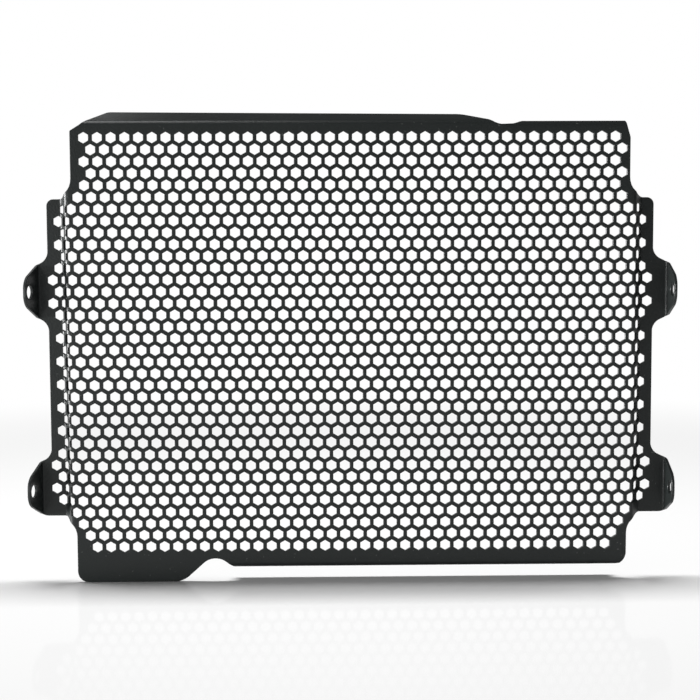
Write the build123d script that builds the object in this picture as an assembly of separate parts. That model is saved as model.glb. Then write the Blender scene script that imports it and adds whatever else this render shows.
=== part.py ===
from build123d import *
from math import cos, radians, sin, sqrt, tan
import os

# Radiator guard: one perforated sheet, folded. Its front faces -Y, and heights start near its middle.

# Sheet
sheet = 1.5  # thickness of the metal
inside_radius = 1.2  # inside of every bend
small_radius = 1.0  # at small outer corners

# Front panel
panel_half_width = 139.7
panel_top = 108.0  # crest of the top lip
panel_bottom = -117.0  # underside of the bottom lip
slant_width = 2.4  # cut off the top right corner
slant_height = 8.3
slant_radius = 3.0
bottom_right_radius = 6.5
lip_depth = 8.0  # how far the top and bottom lips reach back

# Lobe that hangs below the lip on the left, and the hose notch beside it
lobe_width = 53.4  # from the panel's left side to the sharp inner corner
lobe_drop = 7.0  # below the lip
lobe_outer_radius = 5.5
lobe_inner_radius = 10.0
notch_run = 15.7  # from the lobe's inner corner to the sharp corner above the notch's arc
notch_rise = 7.0  # above the lip's underside
notch_radius = 8.4
notch_end_run = 10.6  # from that corner to the start of the lip

# Deeper flange along the left part of the top edge, and the gap between it and the lip
flange_bend = 65.0  # degrees that it leans back from the panel
flange_rise = 1.1  # its bend lies this far above the lip's
flange_left_length = 13.2
flange_right_length = 9.1
flange_end_run = 17.5  # from its outer right corner down to the gap
flange_corner_radius = 3.0
flange_sweep_radius = 9.0
corner_cut_drop = 4.5  # where the slanted left end leaves the panel's side, below the top
corner_cut_angle = 27.0  # on the panel
flange_cut_angle = 44.0  # on the flange
gap_width = 8.5
gap_drop = 1.6  # below the top
gap_ramp = 3.9  # from the gap up to the lip
gap_radius = 2.0
top_lip_length = 54.3

# Side wings, stepped back from the panel by a joggle
joggle_setback = 2.5  # from the panel's side to the corner of the first fold
joggle_depth = 5.5
left_joggle_slope = 64.0  # degrees
right_joggle_slope = 48.0
wing_width = 13.3  # from the panel's side to the wing's edge
wing_foot = 26.3  # from the panel's bottom to the wing's
wing_head = 46.3  # from the upper ear's middle to the wing's top
wing_radius = 3.5
relief_radius = 9.8  # between a wing and the panel's side

# Fixing ears, bent forward from the wings
left_ear_setback = 5.2  # from the wing's edge to the bend's corner
right_ear_setback = 7.9
ear_foot = 14.4  # from the wing's bottom to the lower ear's middle
ear_spacing = 100.0
ear_length = 15.7  # from the bend's corner to the tip
ear_half_width = 13.6  # at the bend's corner
ear_flank = 25.0  # degrees that each flank closes in
ear_tip_radius = 7.0
ear_root_radius = 6.0
ear_foot_radius = 8.0  # where the lower ear runs into the wing's bottom edge
left_ear_bend = 77.5
right_ear_bend = 89.5
ear_hole_distance = 10.7  # from the bend's corner
ear_hole_diameter = 6.6

# Grille: hexagons about twice the size of the real sheet's, with the same open share
hole_flats = 11.9
web = 4.0
grille_top_margin = 5.0  # below the panel's top
grille_bottom_margin = 8.0
grille_margin = 1.7  # least metal between a hole and an edge

# Sizes that follow
middle = sheet / 2
bend_radius = inside_radius + middle  # at the middle of the sheet
panel_bend_top = panel_top - middle - bend_radius
panel_bend_bottom = panel_bottom + middle + bend_radius
overlap = sheet  # how far the lips reach into the panel before they are fused
reach = ear_length + flange_left_length + lip_depth  # past every fold, for the through cuts
lobe_bottom = panel_bottom - lobe_drop
lobe_inner_x = -panel_half_width + lobe_width
notch_x = lobe_inner_x + notch_run
notch_z = panel_bottom + notch_rise
lip_end_x = panel_half_width - top_lip_length
gap_right_x = lip_end_x - gap_ramp
gap_left_x = gap_right_x - gap_width
gap_middle_x = (gap_left_x + gap_right_x) / 2
gap_bottom = panel_top - gap_drop
corner_cut_z = panel_top - corner_cut_drop
joggle_x = panel_half_width + joggle_setback
wing_half_width = panel_half_width + wing_width
ear_corner_x = {-1: wing_half_width + left_ear_setback, 1: wing_half_width + right_ear_setback}
wing_bottom = panel_bottom + wing_foot
ear_lower_z = wing_bottom + ear_foot
ear_heights = (ear_lower_z + ear_spacing, ear_lower_z)
ear_sides = ((-1, left_ear_bend), (1, right_ear_bend))
wing_top = ear_heights[0] + wing_head
grille_top = panel_top - grille_top_margin
grille_bottom = panel_bottom + grille_bottom_margin


def ear_point(side, bend, distance):
    # A point on the middle of an ear, at a distance from its bend's corner
    lean = radians(90 - bend)
    x = side * (ear_corner_x[side] + distance * sin(lean))
    return (x, middle + joggle_depth - distance * cos(lean))


def ear_plane(side, bend, height):
    # Local x runs along the ear to its tip, local z out through its hole
    lean = radians(90 - bend)
    corner = (side * ear_corner_x[side], middle + joggle_depth, height)
    return Plane(corner, x_dir=(side * sin(lean), -cos(lean), 0), z_dir=(side * cos(lean), sin(lean), 0))


def wing_corners(side):
    # Corners of a wing in the front view, from top to bottom, each with its radius
    upper, lower = ear_heights
    corner_x = ear_corner_x[side]
    flank = tan(radians(ear_flank))
    root = ear_half_width + (corner_x - wing_half_width) * flank
    far_x = corner_x + ear_length
    far = ear_half_width - ear_length * flank
    foot = corner_x + (ear_half_width - ear_foot) / flank
    corners = [
        (panel_half_width, wing_top, relief_radius),
        (wing_half_width, wing_top, wing_radius),
        (wing_half_width, upper + root, ear_root_radius),
        (far_x, upper + far, 0),
        (far_x, upper - far, 0),
        (wing_half_width, upper - root, ear_root_radius),
        (wing_half_width, lower + root, ear_root_radius),
        (far_x, lower + far, 0),
        (far_x, lower - far, 0),
        (foot, wing_bottom, ear_foot_radius),
        (panel_half_width, wing_bottom, relief_radius),
    ]
    return [(side * x, z, radius) for x, z, radius in corners]


def closed_outline(corners):
    points = [(x, z) for x, z, _ in corners]
    return FilletPolyline(*points, radius=[radius for _, _, radius in corners], close=True)


def front_outline():
    # Everything that is cut through from the front; the top flange has its own outline
    above = panel_top + sheet
    cut_run = (above - corner_cut_z) / tan(radians(corner_cut_angle))
    top = [
        (-panel_half_width, corner_cut_z, small_radius),
        (-panel_half_width + cut_run, above, 0),
        (gap_left_x, above, 0),
        (gap_left_x, gap_bottom, 0),
        (gap_right_x, gap_bottom, gap_radius),
        (lip_end_x, panel_top, 0),
        (panel_half_width - slant_width, panel_top, small_radius),
        (panel_half_width, panel_top - slant_height, slant_radius),
    ]
    bottom = [
        (panel_half_width, panel_bottom, bottom_right_radius),
        (notch_x + notch_end_run, panel_bottom, small_radius),
        (notch_x, notch_z, notch_radius),
        (lobe_inner_x, lobe_bottom, lobe_inner_radius),
        (-panel_half_width, lobe_bottom, lobe_outer_radius),
    ]
    return closed_outline(top + wing_corners(1) + bottom + wing_corners(-1)[::-1])


def front_x(flat_x):
    # Where a point of the flat sheet lies in the front view once the joggle is folded
    side = 1 if flat_x > 0 else -1
    slope = radians(right_joggle_slope if flat_x > 0 else left_joggle_slope)
    tangent = bend_radius * tan(slope / 2)
    first = joggle_x - tangent
    arc = bend_radius * slope
    run = joggle_depth / sin(slope) - 2 * tangent
    s = abs(flat_x) - first
    if s <= 0:
        return flat_x
    x = first + bend_radius * sin(min(s, arc) / bend_radius)
    x += min(max(s - arc, 0), run) * cos(slope)
    turned = min(max(s - arc - run, 0), arc) / bend_radius
    x += bend_radius * (sin(slope) - sin(slope - turned))
    x += max(s - 2 * arc - run, 0)
    return side * x


def hexagon(x, z):
    # Six corners, one of them at the top, carried across the fold where one is in the way
    radius = hole_flats / sqrt(3)
    angles = [radians(30 + 60 * i) for i in range(6)]
    return [(front_x(x + radius * cos(a)), z + radius * sin(a)) for a in angles]


def has_room(x, z):
    # A hole stays inside the wing's edge at the heights of the wings, and elsewhere inside the panel's
    clear = hole_flats / sqrt(3) + grille_margin
    beside_wing = wing_bottom + clear < z < wing_top - clear
    edge = wing_half_width if beside_wing else panel_half_width
    far_x = x + hole_flats / 2 if x > 0 else x - hole_flats / 2
    return abs(front_x(far_x)) < edge - grille_margin


def grille_holes():
    pitch = hole_flats + web
    row_height = pitch * sqrt(3) / 2
    rows = 1 + int((grille_top - grille_bottom - 2 * hole_flats / sqrt(3)) / row_height)
    columns = int(wing_half_width / pitch) + 1
    lowest = (grille_top + grille_bottom - (rows - 1) * row_height) / 2
    holes = []
    for row in range(rows):
        z = lowest + row * row_height
        for column in range(-columns, columns + 1):
            x = pitch * (column + 0.5 * (row % 2))
            if has_room(x, z):
                face = Plane.XZ * make_face(Polyline(*hexagon(x, z), close=True))
                holes.append(extrude(face, amount=joggle_depth + 2 * sheet, both=True))
    return holes


def folded_body():
    # Panel, joggles, wings and ears as one strip of constant section
    right_run = joggle_depth / tan(radians(right_joggle_slope))
    right = [
        (joggle_x, middle),
        (joggle_x + right_run, middle + joggle_depth),
        (ear_corner_x[1], middle + joggle_depth),
        ear_point(1, right_ear_bend, ear_length),
    ]
    left_run = joggle_depth / tan(radians(left_joggle_slope))
    left = [
        (-joggle_x, middle),
        (-joggle_x - left_run, middle + joggle_depth),
        (-ear_corner_x[-1], middle + joggle_depth),
        ear_point(-1, left_ear_bend, ear_length),
    ]
    section = trace(FilletPolyline(*left[::-1], *right, radius=bend_radius), sheet)
    height = panel_bend_top - panel_bend_bottom
    return Pos(0, 0, panel_bend_bottom) * extrude(section, amount=height, dir=(0, 0, 1))


def folded_lip(start, corner, end, left_x, right_x):
    # A strip bent along X, from three (y, z) points of the sheet's middle
    section = Plane.YZ * trace(FilletPolyline(start, corner, end, radius=bend_radius), sheet)
    return Pos(left_x, 0, 0) * extrude(section, amount=right_x - left_x, dir=(1, 0, 0))


def top_lip():
    corner_z = panel_top - middle
    start = (middle, panel_bend_top - overlap)
    return folded_lip(start, (middle, corner_z), (lip_depth, corner_z), gap_middle_x, panel_half_width)


def bottom_lip():
    corner_z = panel_bottom + middle
    start = (middle, panel_bend_bottom + overlap)
    return folded_lip(start, (middle, corner_z), (lip_depth, corner_z), notch_x, panel_half_width)


def lobe():
    width = panel_half_width + notch_x
    height = panel_bend_bottom + overlap - lobe_bottom
    plate = Box(width, sheet, height, align=(Align.MIN, Align.MIN, Align.MIN))
    return Pos(-panel_half_width, 0, lobe_bottom) * plate


def top_flange():
    # The strip is trimmed square to its own face, by an outline whose y starts at the bend's corner
    bend = radians(flange_bend)
    tangent = bend_radius * tan(bend / 2)
    rise = flange_rise + tangent
    corner_z = panel_bend_top + rise
    length = flange_left_length + flange_right_length
    tip = (middle + length * sin(bend), corner_z + length * cos(bend))
    start = (middle, panel_bend_top - overlap)
    strip = folded_lip(start, (middle, corner_z), tip, -panel_half_width, gap_middle_x)
    cut_x = -panel_half_width + (panel_bend_top - corner_cut_z) / tan(radians(corner_cut_angle))
    run = 1 / tan(radians(flange_cut_angle))
    start_y = -rise * cos(bend)
    foot = start_y - overlap
    outline = closed_outline([
        (cut_x - overlap * run, foot, 0),
        (cut_x + (flange_left_length - start_y) * run, flange_left_length, flange_corner_radius),
        (gap_left_x - flange_end_run, flange_right_length, flange_sweep_radius),
        (gap_left_x, gap_bottom - corner_z, flange_sweep_radius),
        (gap_middle_x, gap_bottom - corner_z, 0),
        (gap_middle_x, foot, 0),
    ])
    face = Plane((0, middle, corner_z), x_dir=(1, 0, 0), z_dir=(0, -cos(bend), sin(bend)))
    return strip & extrude(face * make_face(outline), amount=length, both=True)


def ear_trim(side, bend, height):
    # What is cut from an ear to leave its closing flanks and rounded tip, and its bolt hole
    tip = ear_half_width - ear_length * tan(radians(ear_flank))
    ear = closed_outline([
        (0, -ear_half_width, 0),
        (ear_length, -tip, ear_tip_radius),
        (ear_length, tip, ear_tip_radius),
        (0, ear_half_width, 0),
    ])
    around = Pos(ear_length / 2, 0) * Rectangle(ear_length, 3 * ear_half_width)
    hole = Pos(ear_hole_distance, 0) * Circle(ear_hole_diameter / 2)
    waste = extrude(around - make_face(ear) + hole, amount=2 * sheet, both=True)
    return ear_plane(side, bend, height) * waste


front = Plane.XZ * make_face(front_outline())
guard = folded_body() + top_lip() + bottom_lip() + lobe()
guard &= extrude(front, amount=reach, both=True)
guard += top_flange()
for side, bend in ear_sides:
    for height in ear_heights:
        guard -= ear_trim(side, bend, height)
guard -= grille_holes()

# The origin is the middle of the guard's box
centre = guard.bounding_box().center()
guard = Pos(-centre) * guard
os.makedirs("parts", exist_ok=True)
export_step(guard, "parts/radiator_guard.step")
print("volume", round(guard.volume), "size", guard.bounding_box().size)
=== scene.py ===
from math import cos, copysign, pi, radians, sin, sqrt, tan
import bmesh
import bpy
from mathutils import Matrix, Vector


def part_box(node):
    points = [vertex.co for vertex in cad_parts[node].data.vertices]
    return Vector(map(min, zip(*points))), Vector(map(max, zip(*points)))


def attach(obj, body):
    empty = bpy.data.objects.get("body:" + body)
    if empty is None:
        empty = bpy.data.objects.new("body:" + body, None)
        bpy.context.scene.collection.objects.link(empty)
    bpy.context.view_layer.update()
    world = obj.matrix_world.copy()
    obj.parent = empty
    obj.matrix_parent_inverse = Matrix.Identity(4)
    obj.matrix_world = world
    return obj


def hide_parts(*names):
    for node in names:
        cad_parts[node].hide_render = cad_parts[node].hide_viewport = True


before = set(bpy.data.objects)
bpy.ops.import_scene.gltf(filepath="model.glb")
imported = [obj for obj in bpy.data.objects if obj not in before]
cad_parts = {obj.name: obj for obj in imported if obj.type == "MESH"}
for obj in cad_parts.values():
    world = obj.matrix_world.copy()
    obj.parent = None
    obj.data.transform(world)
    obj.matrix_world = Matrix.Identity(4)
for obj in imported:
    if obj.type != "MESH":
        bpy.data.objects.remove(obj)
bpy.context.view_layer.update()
mm = 0.001
print("frame loaded")


# The sheet is cut flat in millimetres, x to the right and y up, then folded and stood up

sheetMetal = {
    "thickness": 1.5,
    "bendRadius": 1.95,      # at the middle of the sheet
    "bendSteps": 8,
    "cornerSteps": 8,
    "edgeRound": 0.2,        # softened edge under the coat
    "smallRadius": 1.0,
    "sharpAngle": 30.0,
    "mergeDistance": 0.01,   # joins the grille's cells
    "cutTolerance": 0.001,
    "wallLean": 0.5,         # the walls of a cut have normals that rise less than this
}
panel = {
    "halfWidth": 139.7,
    "top": 108.0,
    "bottom": -117.0,
    "slantWidth": 2.4,       # top right corner
    "slantHeight": 8.3,
    "slantRadius": 3.0,
    "lowRightRadius": 6.5,
    "lipDepth": 8.0,
}
topFlange = {
    "bend": 65.0,
    "rise": 1.1,             # of its bend above the lip's
    "leftLength": 13.2,
    "rightLength": 9.1,
    "endRun": 17.5,
    "cornerRadius": 3.0,
    "sweepRadius": 9.0,
    "cutDrop": 4.5,
    "cutAngle": 29.5,        # up to the end of the bend, then on the flange
    "flangeCutAngle": 53.0,
    "gapWidth": 8.5,
    "gapDrop": 1.6,
    "gapRamp": 3.9,
    "gapRadius": 2.0,
    "lipLength": 54.3,
}
lobe = {
    "width": 53.4,
    "drop": 7.0,
    "outerRadius": 5.5,
    "innerRadius": 10.0,
    "notchRun": 15.7,
    "notchRise": 7.0,
    "notchRadius": 8.4,
    "notchEndRun": 10.6,
}
wing = {
    "joggleSetback": 2.5,
    "joggleDepth": 5.5,
    "joggleSlope": {-1: 61.0, 1: 50.0},   # left and right
    "width": 13.3,
    "foot": 26.3,
    "head": 46.3,
    "radius": 3.5,
    "reliefRadius": 9.8,
}
ear = {
    "setback": {-1: 5.2, 1: 7.9},    # left and right
    "foot": 14.4,
    "spacing": 100.0,
    "length": 15.7,
    "halfWidth": 13.6,
    "flank": 25.0,
    "tipRadius": 7.0,
    "rootRadius": 6.0,
    "footRadius": 8.0,
    "bend": {-1: 77.5, 1: 89.5},
    "holeDistance": 10.7,
    "holeRadius": 3.3,
    "holeSteps": 32,
}

bendRadius = sheetMetal["bendRadius"]
halfSheet = sheetMetal["thickness"] / 2
topFoldY = panel["top"] - halfSheet - bendRadius
lowFoldY = panel["bottom"] + halfSheet + bendRadius
wingBottom = panel["bottom"] + wing["foot"]
earLowY = wingBottom + ear["foot"]
earHighY = earLowY + ear["spacing"]
wingTop = earHighY + wing["head"]
notchX = -panel["halfWidth"] + lobe["width"] + lobe["notchRun"]
lipX = panel["halfWidth"] - topFlange["lipLength"]
gapRight = lipX - topFlange["gapRamp"]
gapLeft = gapRight - topFlange["gapWidth"]


def foldTangent(angle):
    return bendRadius * tan(angle / 2)


def flatLength(foldStart, angle, cornerLength):   # of a flap that is measured from its bend's corner
    return foldStart + bendRadius * angle + cornerLength - foldTangent(angle)


def joggleFolds(side):   # two bends that step a wing back, and what the step adds to the flat length
    slope = radians(wing["joggleSlope"][side])
    corner = panel["halfWidth"] + wing["joggleSetback"]
    first = corner - foldTangent(slope)
    second = first + bendRadius * slope + wing["joggleDepth"] / sin(slope) - 2 * foldTangent(slope)
    frontEnd = corner + wing["joggleDepth"] / tan(slope) + foldTangent(slope)
    return [(first, slope), (second, -slope)], second + bendRadius * slope - frontEnd


wingFolds = {side: joggleFolds(side)[0] for side in (-1, 1)}
wingEdge = {side: panel["halfWidth"] + wing["width"] + joggleFolds(side)[1] for side in (-1, 1)}
earFold = {side: (wingEdge[side] + ear["setback"][side] - foldTangent(radians(bend)), -radians(bend))
           for side, bend in ear["bend"].items()}
sideFolds = {side: wingFolds[side] + [earFold[side]] for side in (-1, 1)}
flangeFold = (topFoldY + topFlange["rise"], radians(topFlange["bend"]))
lipFold = (topFoldY, pi / 2)
lowLipFold = (-lowFoldY, pi / 2)


def earReach(side, distance):   # flat x at a distance along an ear
    start, angle = earFold[side]
    return flatLength(start, -angle, distance)


def wingCorners(side):
    flank = tan(radians(ear["flank"]))
    root = ear["halfWidth"] + ear["setback"][side] * flank
    tip = ear["halfWidth"] - ear["length"] * flank
    edgeX = wingEdge[side]
    tipX = earReach(side, ear["length"])
    footX = edgeX + ear["setback"][side] + (ear["halfWidth"] - ear["foot"]) / flank
    corners = [
        (panel["halfWidth"], wingTop, wing["reliefRadius"]),
        (edgeX, wingTop, wing["radius"]),
        (edgeX, earHighY + root, ear["rootRadius"]),
        (tipX, earHighY + tip, ear["tipRadius"]),
        (tipX, earHighY - tip, ear["tipRadius"]),
        (edgeX, earHighY - root, ear["rootRadius"]),
        (edgeX, earLowY + root, ear["rootRadius"]),
        (tipX, earLowY + tip, ear["tipRadius"]),
        (tipX, earLowY - tip, ear["tipRadius"]),
        (footX, wingBottom, ear["footRadius"]),
        (panel["halfWidth"], wingBottom, wing["reliefRadius"]),
    ]
    return [(side * x, y, radius) for x, y, radius in corners]


def topCorners():
    half = panel["halfWidth"]
    small = sheetMetal["smallRadius"]
    cutY = panel["top"] - topFlange["cutDrop"]
    leftY = flatLength(*flangeFold, topFlange["leftLength"])
    rightY = flatLength(*flangeFold, topFlange["rightLength"])
    lipY = flatLength(*lipFold, panel["lipDepth"] - halfSheet)
    gapY = panel["top"] - topFlange["gapDrop"]
    slantX = half - panel["slantWidth"]
    foldStart, foldAngle = flangeFold
    bendY = foldStart + bendRadius * foldAngle
    bendTop = foldStart + bendRadius * sin(foldAngle)   # as folded
    bendX = -half + (bendTop - cutY) / tan(radians(topFlange["cutAngle"]))
    endX = bendX + (leftY - bendY) / tan(radians(topFlange["flangeCutAngle"]))
    return [
        (-half, cutY, small),
        (bendX, bendY, 0),
        (endX, leftY, topFlange["cornerRadius"]),
        (gapLeft - topFlange["endRun"], rightY, topFlange["sweepRadius"]),
        (gapLeft, gapY, topFlange["sweepRadius"]),
        (gapRight, gapY, topFlange["gapRadius"]),
        (lipX, panel["top"], 0),
        (lipX, lipY, small),
        (slantX, lipY, small),
        (slantX, panel["top"], 0),
        (half, panel["top"] - panel["slantHeight"], panel["slantRadius"]),
    ]


def bottomCorners():
    half = panel["halfWidth"]
    small = sheetMetal["smallRadius"]
    lipY = -flatLength(*lowLipFold, panel["lipDepth"] - halfSheet)
    lipRight = half - panel["lowRightRadius"]
    lipLeft = notchX + lobe["notchEndRun"]
    return [
        (half, panel["bottom"], panel["lowRightRadius"]),
        (lipRight, panel["bottom"], 0),
        (lipRight, lipY, small),
        (lipLeft, lipY, small),
        (lipLeft, panel["bottom"], 0),
        (notchX, panel["bottom"] + lobe["notchRise"], lobe["notchRadius"]),
        (notchX - lobe["notchRun"], panel["bottom"] - lobe["drop"], lobe["innerRadius"]),
        (-half, panel["bottom"] - lobe["drop"], lobe["outerRadius"]),
    ]


def openRim(bm, faces, width):   # leaves faces a narrow rim; returns its inner and outer edges
    rim = bmesh.ops.inset_individual(bm, faces=faces, thickness=width, use_even_offset=True)["faces"]
    inner = {edge for face in faces for edge in face.edges}
    bmesh.ops.delete(bm, geom=faces, context="FACES_ONLY")
    outer = {edge for face in rim for edge in face.edges if edge.is_boundary} - inner
    return list(inner), list(outer)


def cutOutline(bm):   # rounded outline with a narrow rim
    corners = topCorners() + wingCorners(1) + bottomCorners() + wingCorners(-1)[::-1]
    verts = [bm.verts.new((x, y, 0)) for x, y, radius in corners]
    bm.faces.new(reversed(verts))
    for i, (vert, (x, y, radius)) in enumerate(zip(verts, corners)):
        if radius:
            here = Vector((x, y))
            before = here - Vector(corners[i - 1][:2])
            after = Vector(corners[(i + 1) % len(corners)][:2]) - here
            reach = radius * tan(before.angle(after) / 2)
            bmesh.ops.bevel(bm, geom=[vert], offset=reach, offset_type="OFFSET", affect="VERTICES",
                            segments=sheetMetal["cornerSteps"], profile=0.5, material=-1)
    return openRim(bm, bm.faces[:], sheetMetal["edgeRound"])[0]


# Grille: pointed-top hexagons in rows, from the lowest row up

grille = {
    "holeFlats": 4.9,
    "web": 1.9,
    "middleX": -0.4,
    "lowestRow": -18,
    "highestRow": 17,
    "halfColumns": 41,       # half pitches from the middle to the end of a row across the panel
    "headRow": 12,           # rows above this one, and below footRow, are shorter
    "footRow": -16,
    "headColumns": 39,
    "headRightColumns": 40,
    "wingHighRow": 11,
    "wingLowRow": -14,
    "wingColumns": 44,
    "earRows": (5, 3, -11, -13),   # one more hole runs out towards each ear
    "earColumns": 45,
}


def rowEnds(row):   # in half pitches left and right of the middle
    if row in grille["earRows"]:
        return -grille["earColumns"], grille["earColumns"]
    if grille["wingLowRow"] <= row <= grille["wingHighRow"]:
        return -grille["wingColumns"], grille["wingColumns"]
    if row > grille["headRow"]:
        return -grille["headColumns"], grille["headRightColumns"]
    if row < grille["footRow"]:
        return -grille["headColumns"], grille["headColumns"]
    return -grille["halfColumns"], grille["halfColumns"]


def punchGrille(bm):   # hexagonal cells, each with its hole; returns the zigzag round them
    pitch = grille["holeFlats"] + grille["web"]
    side = pitch / sqrt(3)
    rise = side * 1.5   # from row to row
    cells = []
    for row in range(grille["lowestRow"], grille["highestRow"] + 1):
        first, last = rowEnds(row)
        for column in range(first, last + 1):
            if (column + row) % 2 == 0:
                place = Matrix.Translation((grille["middleX"] + column * pitch / 2, row * rise, 0))
                made = bmesh.ops.create_circle(bm, cap_ends=True, segments=6, radius=side, matrix=place)
                cells.append(made["verts"][0].link_faces[0])
    print("grille punched:", len(cells), "holes")
    rim = sheetMetal["edgeRound"]
    inset = grille["web"] / 2 - rim
    webs = bmesh.ops.inset_individual(bm, faces=cells, thickness=inset, use_even_offset=True)["faces"]
    openRim(bm, cells, rim)
    corners = list({vert for face in webs for vert in face.verts})
    bmesh.ops.remove_doubles(bm, verts=corners, dist=sheetMetal["mergeDistance"])
    edges = {edge for face in webs if face.is_valid for edge in face.edges}
    return [edge for edge in edges if edge.is_boundary]


def boltHoles(bm):
    rim = sheetMetal["edgeRound"]
    edges = []
    for side in (-1, 1):
        for y in (earHighY, earLowY):
            place = Matrix.Translation((side * earReach(side, ear["holeDistance"]), y, 0))
            made = bmesh.ops.create_circle(bm, cap_ends=True, segments=ear["holeSteps"],
                                           radius=ear["holeRadius"] + rim, matrix=place)
            edges += openRim(bm, [made["verts"][0].link_faces[0]], rim)[1]
    return edges


def scoreFolds(bm):   # edges along every bend
    steps = sheetMetal["bendSteps"]
    lines = []
    for side, folds in sideFolds.items():
        for start, angle in folds:
            step = bendRadius * abs(angle) / steps
            lines += [((side * (start + step * i), 0, 0), (1, 0, 0)) for i in range(steps + 1)]
    for start, angle in (flangeFold, lipFold):
        lines += [((0, start + bendRadius * angle * i / steps, 0), (0, 1, 0)) for i in range(steps + 1)]
    start, angle = lowLipFold
    lines += [((0, -start - bendRadius * angle * i / steps, 0), (0, 1, 0)) for i in range(steps + 1)]
    for point, normal in lines:
        bmesh.ops.bisect_plane(bm, geom=bm.verts[:] + bm.edges[:] + bm.faces[:],
                               dist=sheetMetal["cutTolerance"], plane_co=point, plane_no=normal)


def walkFolds(run, lift, folds):   # where a point of the flat sheet goes: along, and back
    along = back = heading = done = 0
    for start, angle in folds:
        if run <= start:
            break
        along += (start - done) * cos(heading)
        back += (start - done) * sin(heading)
        turned = copysign(min((run - start) / bendRadius, abs(angle)), angle)
        curve = copysign(bendRadius, angle)
        along += curve * (sin(heading + turned) - sin(heading))
        back += curve * (cos(heading) - cos(heading + turned))
        heading += turned
        done = start + bendRadius * abs(turned)
    along += (run - done) * cos(heading) - lift * sin(heading)
    back += (run - done) * sin(heading) + lift * cos(heading)
    return along, back


def foldPoint(flat):
    x, y, lift = flat.x, flat.y, -flat.z
    side = 1 if x > 0 else -1
    if y > topFoldY:
        up, back = walkFolds(y, lift, [flangeFold if x < (gapLeft + gapRight) / 2 else lipFold])
        return Vector((x, back, up))
    if y < lowFoldY and x > notchX:
        down, back = walkFolds(-y, lift, [lowLipFold])
        return Vector((x, back, -down))
    across, back = walkFolds(abs(x), lift, sideFolds[side])
    return Vector((side * across, back, y))


def centreOn(bm, box):
    low = Vector([min(vert.co[i] for vert in bm.verts) for i in range(3)])
    high = Vector([max(vert.co[i] for vert in bm.verts) for i in range(3)])
    bmesh.ops.translate(bm, verts=bm.verts[:], vec=(box[0] + box[1] - low - high) / 2)


def buildGuard():
    bm = bmesh.new()
    borders = cutOutline(bm) + punchGrille(bm) + boltHoles(bm)
    bmesh.ops.triangle_fill(bm, edges=borders, use_beauty=True, normal=(0, 0, 1))
    scoreFolds(bm)
    bmesh.ops.recalc_face_normals(bm, faces=bm.faces[:])
    bmesh.ops.solidify(bm, geom=bm.faces[:], thickness=sheetMetal["thickness"])
    heights = [vert.co.z for vert in bm.verts]
    bmesh.ops.translate(bm, verts=bm.verts[:], vec=(0, 0, -(min(heights) + max(heights)) / 2))
    walls = [face for face in bm.faces if abs(face.normal.z) < sheetMetal["wallLean"]]
    rims = list({vert for face in walls for vert in face.verts})
    bmesh.ops.scale(bm, verts=rims, vec=(1, 1, 1 - sheetMetal["edgeRound"] / halfSheet))
    for vert in bm.verts:
        vert.co = foldPoint(vert.co)
    bmesh.ops.scale(bm, verts=bm.verts[:], vec=(mm, mm, mm))
    centreOn(bm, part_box("radiator_guard"))
    bmesh.ops.recalc_face_normals(bm, faces=bm.faces[:])
    mesh = bpy.data.meshes.new("guardSheet")
    bm.to_mesh(mesh)
    bm.free()
    mesh.shade_smooth()
    mesh.set_sharp_from_angle(angle=radians(sheetMetal["sharpAngle"]))
    guard = bpy.data.objects.new("guardSheet", mesh)
    bpy.context.scene.collection.objects.link(guard)
    print("sheet folded:", sum(len(face.vertices) - 2 for face in mesh.polygons), "triangles")
    return guard


guard = buildGuard()
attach(guard, "root")
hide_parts("radiator_guard")


# Black powder coat

coat = {
    "color": (0.0115, 0.0140, 0.0138, 1),
    "faded": (0.0150, 0.0172, 0.0168, 1),
    "dust": (0.20, 0.21, 0.20, 1),
    "roughness": 0.33,
    "roughSpread": 0.06,
    "specular": 0.25,
    "peelSize": 1100,        # noise sizes are in bumps to the metre
    "peelDetail": 1.0,
    "peelDepth": 0.00008,
    "patchSize": 18,
    "patchDetail": 4.0,
    "speckSize": 900,
    "speckDetail": 0.0,
    "speckRange": (0.82, 0.88),   # only the peaks of the noise show
    "clusterSize": 25,
    "clusterDetail": 2.0,
    "dustAmount": 0.35,
}


def newMaterial(name):
    material = bpy.data.materials.new(name)
    material.use_nodes = True
    tree = material.node_tree
    return material, tree, tree.nodes["Principled BSDF"]


def groupSockets(group, inputs, outputs):
    for name in inputs:
        group.interface.new_socket(name, in_out="INPUT", socket_type="NodeSocketFloat")
    for name in outputs:
        group.interface.new_socket(name, in_out="OUTPUT", socket_type="NodeSocketFloat")
    return group.nodes.new("NodeGroupInput"), group.nodes.new("NodeGroupOutput")


def feed(tree, socket, value):   # links an output, or sets a plain value
    if isinstance(value, bpy.types.NodeSocket):
        tree.links.new(value, socket)
    else:
        socket.default_value = value


def noise(tree, scale, detail):
    place = tree.nodes.new("ShaderNodeTexCoord")
    grain = tree.nodes.new("ShaderNodeTexNoise")
    grain.inputs["Detail"].default_value = detail
    feed(tree, grain.inputs["Scale"], scale)
    tree.links.new(place.outputs["Object"], grain.inputs["Vector"])
    return grain.outputs["Fac"]


def multiply(tree, first, second):
    node = tree.nodes.new("ShaderNodeMath")
    node.operation = "MULTIPLY"
    tree.links.new(first, node.inputs[0])
    tree.links.new(second, node.inputs[1])
    return node.outputs["Value"]


def coatGrainGroup():   # orange peel of a sprayed and baked coat
    group = bpy.data.node_groups.new("coatGrain", "ShaderNodeTree")
    given, put = groupSockets(group, ("Size",), ("Height", "Patches"))
    peel = noise(group, given.outputs["Size"], coat["peelDetail"])
    patches = noise(group, coat["patchSize"], coat["patchDetail"])
    group.links.new(peel, put.inputs["Height"])
    group.links.new(patches, put.inputs["Patches"])
    return group


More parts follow.
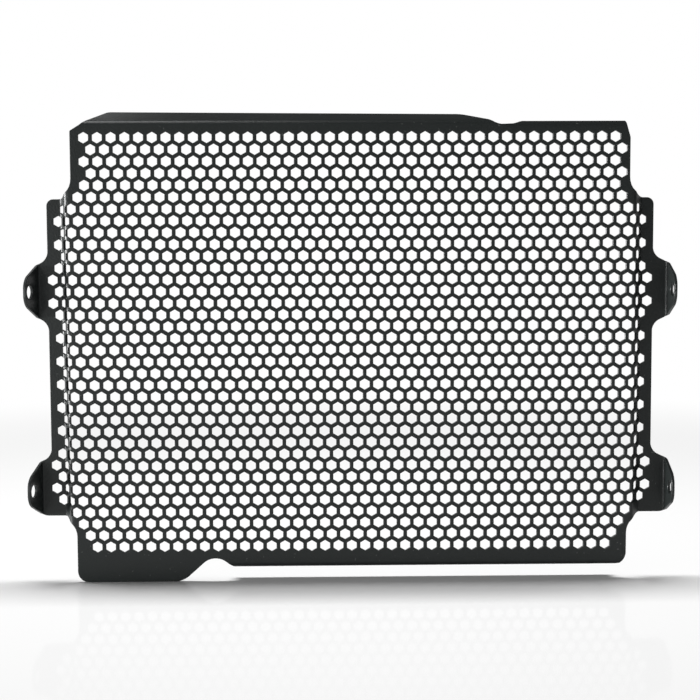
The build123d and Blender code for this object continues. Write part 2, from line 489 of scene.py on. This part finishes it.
def dustGroup():   # sparse specks that settle in clusters
    group = bpy.data.node_groups.new("dustSpecks", "ShaderNodeTree")
    given, put = groupSockets(group, ("Size", "Amount"), ("Mask",))
    specks = noise(group, given.outputs["Size"], coat["speckDetail"])
    sharp = group.nodes.new("ShaderNodeMapRange")
    for name, value in zip(("From Min", "From Max"), coat["speckRange"]):
        sharp.inputs[name].default_value = value
    group.links.new(specks, sharp.inputs["Value"])
    clusters = noise(group, coat["clusterSize"], coat["clusterDetail"])
    weight = multiply(group, sharp.outputs["Result"], clusters)
    group.links.new(multiply(group, weight, given.outputs["Amount"]), put.inputs["Mask"])
    return group


def useGroup(tree, group, **values):
    node = tree.nodes.new("ShaderNodeGroup")
    node.node_tree = group
    for name, value in values.items():
        node.inputs[name].default_value = value
    return node


def mixColor(tree, factor, first, second):
    mix = tree.nodes.new("ShaderNodeMix")
    mix.data_type = "RGBA"
    tree.links.new(factor, mix.inputs["Factor"])
    feed(tree, mix.inputs[6], first)   # A and B for colours
    feed(tree, mix.inputs[7], second)
    return mix.outputs[2]


def blackCoat():
    material, tree, shader = newMaterial("blackCoat")
    shader.inputs["Specular IOR Level"].default_value = coat["specular"]
    grain = useGroup(tree, coatGrainGroup(), Size=coat["peelSize"])
    dust = useGroup(tree, dustGroup(), Size=coat["speckSize"], Amount=coat["dustAmount"])
    paint = mixColor(tree, grain.outputs["Patches"], coat["color"], coat["faded"])
    dusted = mixColor(tree, dust.outputs["Mask"], paint, coat["dust"])
    tree.links.new(dusted, shader.inputs["Base Color"])
    rough = tree.nodes.new("ShaderNodeMapRange")
    rough.inputs["To Min"].default_value = coat["roughness"] - coat["roughSpread"]
    rough.inputs["To Max"].default_value = coat["roughness"] + coat["roughSpread"]
    tree.links.new(grain.outputs["Patches"], rough.inputs["Value"])
    tree.links.new(rough.outputs["Result"], shader.inputs["Roughness"])
    bump = tree.nodes.new("ShaderNodeBump")
    bump.inputs["Distance"].default_value = coat["peelDepth"]
    tree.links.new(grain.outputs["Height"], bump.inputs["Height"])
    tree.links.new(bump.outputs["Normal"], shader.inputs["Normal"])
    return material


guard.data.materials.append(blackCoat())
print("coat applied")


# Studio: white floor and surroundings, softboxes on the guard, and a strip above for its shadow

studio = {
    "white": (1, 1, 1, 1),
    "ambient": (0.18, 0.18, 0.18, 1),
    "dim": (0.12, 0.12, 0.12, 1),   # mirror view of the room behind the camera and overhead
    "backdropDepth": (-0.1, 0.5),   # where the mirrored backdrop begins and is full, looking back
    "backdropHeight": (0.15, 0.4),  # and where it ends, looking up
    "floorSize": 8.0,
    "floorColor": (0.92, 0.92, 0.92, 1),
    "floorGloss": 0.35,      # a faint mirror image in a matt floor
    "floorGlossRough": 0.06,
    "fadeStart": 0.35,       # from here out the floor fades to plain white
    "fadeEnd": 0.9,
    "guardLamps": {          # place, aim, size, power
        "sideSoftbox": ((-2.20, -0.40, 0.00), (0, 0, 0), (0.8, 0.22), 98.0),
        "frontSoftbox": ((-0.80, -1.08, 0.03), (0, 0, 0), (0.25, 0.25), 2.5),
        "topSoftbox": ((-0.34, -0.30, 0.92), (-0.34, 0, 0.1), (0.35, 0.70), 7.0),
        "flangeSoftbox": ((-0.50, 0.76, 0.86), (-0.1, 0, 0.1), (0.40, 0.2), 0.6),
    },
    "overheadStrip": ((-0.05, 0.10, 1.05), (-0.05, 0, 0), (1.0, 0.18), 14.9),   # for the floor
}


def rayMask(tree, *names):   # 1 for the named kinds of ray
    path = tree.nodes.new("ShaderNodeLightPath")
    total = path.outputs[names[0]]
    for name in names[1:]:
        either = tree.nodes.new("ShaderNodeMath")
        either.operation = "MAXIMUM"
        tree.links.new(total, either.inputs[0])
        tree.links.new(path.outputs[name], either.inputs[1])
        total = either.outputs["Value"]
    return total


def ramp(tree, value, start, end, first=0.0, last=1.0):
    node = tree.nodes.new("ShaderNodeMapRange")
    node.interpolation_type = "SMOOTHSTEP"
    for name, number in (("From Min", start), ("From Max", end), ("To Min", first), ("To Max", last)):
        node.inputs[name].default_value = number
    tree.links.new(value, node.inputs["Value"])
    return node.outputs["Result"]


def whiteWorld():   # white all round for the camera; mirror rays see the white backdrop and a dim room
    world = bpy.data.worlds.new("studioWorld")
    world.use_nodes = True
    tree = world.node_tree
    background = tree.nodes["Background"]
    place = tree.nodes.new("ShaderNodeTexCoord")
    parts = tree.nodes.new("ShaderNodeSeparateXYZ")
    tree.links.new(place.outputs["Generated"], parts.inputs["Vector"])
    behind = ramp(tree, parts.outputs["Y"], *studio["backdropDepth"])
    below = ramp(tree, parts.outputs["Z"], *studio["backdropHeight"], 1.0, 0.0)
    mirrored = mixColor(tree, multiply(tree, behind, below), studio["dim"], studio["white"])
    mirrorRays = rayMask(tree, "Is Glossy Ray", "Is Transmission Ray")
    seen = mixColor(tree, mirrorRays, studio["ambient"], mirrored)
    color = mixColor(tree, rayMask(tree, "Is Camera Ray"), seen, studio["white"])
    tree.links.new(color, background.inputs["Color"])
    bpy.context.scene.world = world


def whiteFloor():
    bm = bmesh.new()
    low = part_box("radiator_guard")[0].z
    bmesh.ops.create_grid(bm, x_segments=1, y_segments=1, size=studio["floorSize"] / 2,
                          matrix=Matrix.Translation((0, 0, low)))
    mesh = bpy.data.meshes.new("floor")
    bm.to_mesh(mesh)
    bm.free()
    floor = bpy.data.objects.new("floor", mesh)
    bpy.context.scene.collection.objects.link(floor)
    material, tree, shader = newMaterial("floorWhite")
    shader.inputs["Base Color"].default_value = studio["floorColor"]
    shader.inputs["Specular IOR Level"].default_value = 0
    shader.inputs["Coat Weight"].default_value = studio["floorGloss"]
    shader.inputs["Coat Roughness"].default_value = studio["floorGlossRough"]
    place = tree.nodes.new("ShaderNodeTexCoord")
    reach = tree.nodes.new("ShaderNodeVectorMath")
    reach.operation = "LENGTH"
    tree.links.new(place.outputs["Object"], reach.inputs[0])
    fade = ramp(tree, reach.outputs["Value"], studio["fadeStart"], studio["fadeEnd"])
    share = multiply(tree, fade, rayMask(tree, "Is Camera Ray", "Is Glossy Ray", "Is Transmission Ray"))
    glow = tree.nodes.new("ShaderNodeEmission")
    mix = tree.nodes.new("ShaderNodeMixShader")
    tree.links.new(share, mix.inputs["Fac"])
    tree.links.new(shader.outputs["BSDF"], mix.inputs[1])
    tree.links.new(glow.outputs["Emission"], mix.inputs[2])
    tree.links.new(mix.outputs["Shader"], tree.nodes["Material Output"].inputs["Surface"])
    mesh.materials.append(material)
    return floor


def softbox(name, place, aim, size, power):
    lamp = bpy.data.lights.new(name, "AREA")
    lamp.shape = "RECTANGLE"
    lamp.size, lamp.size_y = size
    lamp.energy = power
    holder = bpy.data.objects.new(name, lamp)
    holder.location = place
    holder.rotation_euler = (Vector(aim) - Vector(place)).to_track_quat("-Z", "Y").to_euler()
    bpy.context.scene.collection.objects.link(holder)
    return holder


def lightOnly(holder, target):   # a lamp for one object; the other one still shades it
    receivers = bpy.data.collections.new(holder.name + "Only")
    receivers.objects.link(target)
    holder.light_linking.receiver_collection = receivers


whiteWorld()
floor = whiteFloor()
for name, setting in studio["guardLamps"].items():
    lightOnly(softbox(name, *setting), guard)
strip = softbox("overheadStrip", *studio["overheadStrip"])
strip.visible_glossy = False
lightOnly(strip, floor)
print("studio lit")


# Camera: almost square on, a little above the middle

lens = {
    "place": (-0.01131, -0.66244, 0.04913),
    "forward": (0.016024, 0.996992, -0.075833),
    "roll": 0.24,            # degrees
    "focal": 67.68,
    "sensor": 36.0,
    "near": 0.01,
}


def photoCamera():
    data = bpy.data.cameras.new("photoCamera")
    data.sensor_width = lens["sensor"]
    data.lens = lens["focal"]
    data.clip_start = lens["near"]
    camera = bpy.data.objects.new("photoCamera", data)
    turn = Vector(lens["forward"]).to_track_quat("-Z", "Y").to_matrix().to_4x4()
    roll = Matrix.Rotation(radians(-lens["roll"]), 4, "Z")
    camera.matrix_world = Matrix.Translation(lens["place"]) @ turn @ roll
    bpy.context.scene.collection.objects.link(camera)
    bpy.context.scene.camera = camera


photoCamera()
bpy.context.scene.view_settings.view_transform = "Standard"
